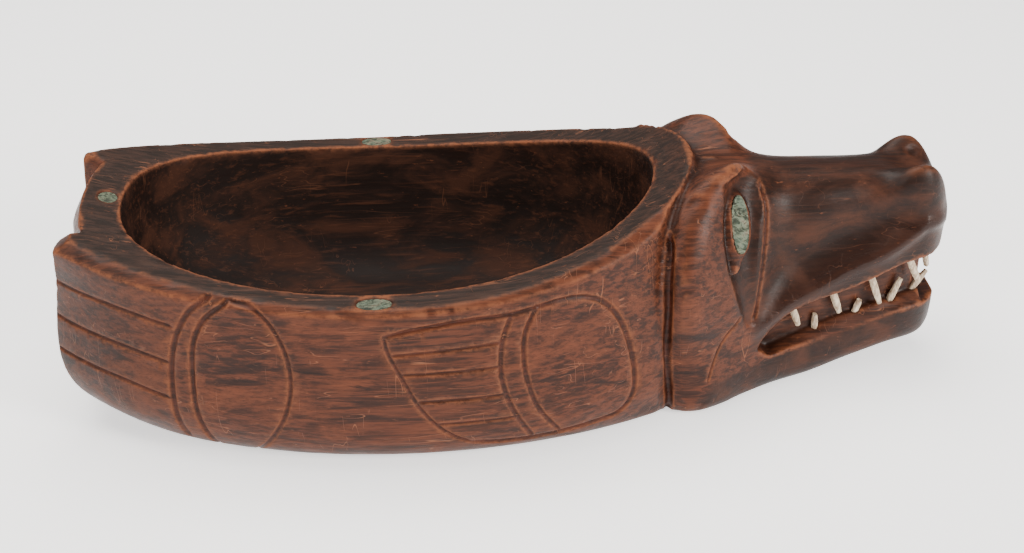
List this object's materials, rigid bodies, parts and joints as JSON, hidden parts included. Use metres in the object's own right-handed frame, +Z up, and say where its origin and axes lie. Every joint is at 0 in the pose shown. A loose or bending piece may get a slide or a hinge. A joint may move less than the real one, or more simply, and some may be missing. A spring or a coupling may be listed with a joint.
{
  "type": "carved wooden bowl",
  "caption": "Animal-shaped carved wooden bowl: an oval basin with a wide rim, haunches at the tail, and a wolf-like head with open jaws, peg teeth and shell inlays.",
  "frame": {"origin": "middle of the box round the bowl, on the surface it stands on", "axes": "+X from the tail to the nose, +Y to the animal's left, +Z up"},
  "size_m": [0.435, 0.185, 0.1218],
  "materials": {
    "wood": "dark handled patina, satin, lighter on worn edges",
    "shell": "polished grey-green shell",
    "pitch": "dark resin",
    "tooth": "pale, dull"
  },
  "bodies": {
    "root": {"bowl_body": "wood", "rim_right_shell": "shell", "rim_right_pitch": "pitch", "rim_left_shell": "shell", "rim_left_pitch": "pitch", "rim_tail_shell": "shell", "rim_tail_pitch": "pitch", "eye_right_shell": "shell", "eye_right_pitch": "pitch", "eye_left_shell": "shell", "eye_left_pitch": "pitch", "tooth_upper_1_right": "tooth", "tooth_upper_1_left": "tooth", "tooth_upper_2_right": "tooth", "tooth_upper_2_left": "tooth", "tooth_upper_3_right": "tooth", "tooth_upper_3_left": "tooth", "tooth_upper_4_right": "tooth", "tooth_upper_4_left": "tooth", "tooth_upper_front_right": "tooth", "tooth_upper_front_left": "tooth", "tooth_lower_1_right": "tooth", "tooth_lower_1_left": "tooth", "tooth_lower_2_right": "tooth", "tooth_lower_2_left": "tooth", "tooth_lower_3_right": "tooth", "tooth_lower_3_left": "tooth", "tooth_lower_front_right": "tooth", "tooth_lower_front_left": "tooth"}
  },
  "joints": []
}
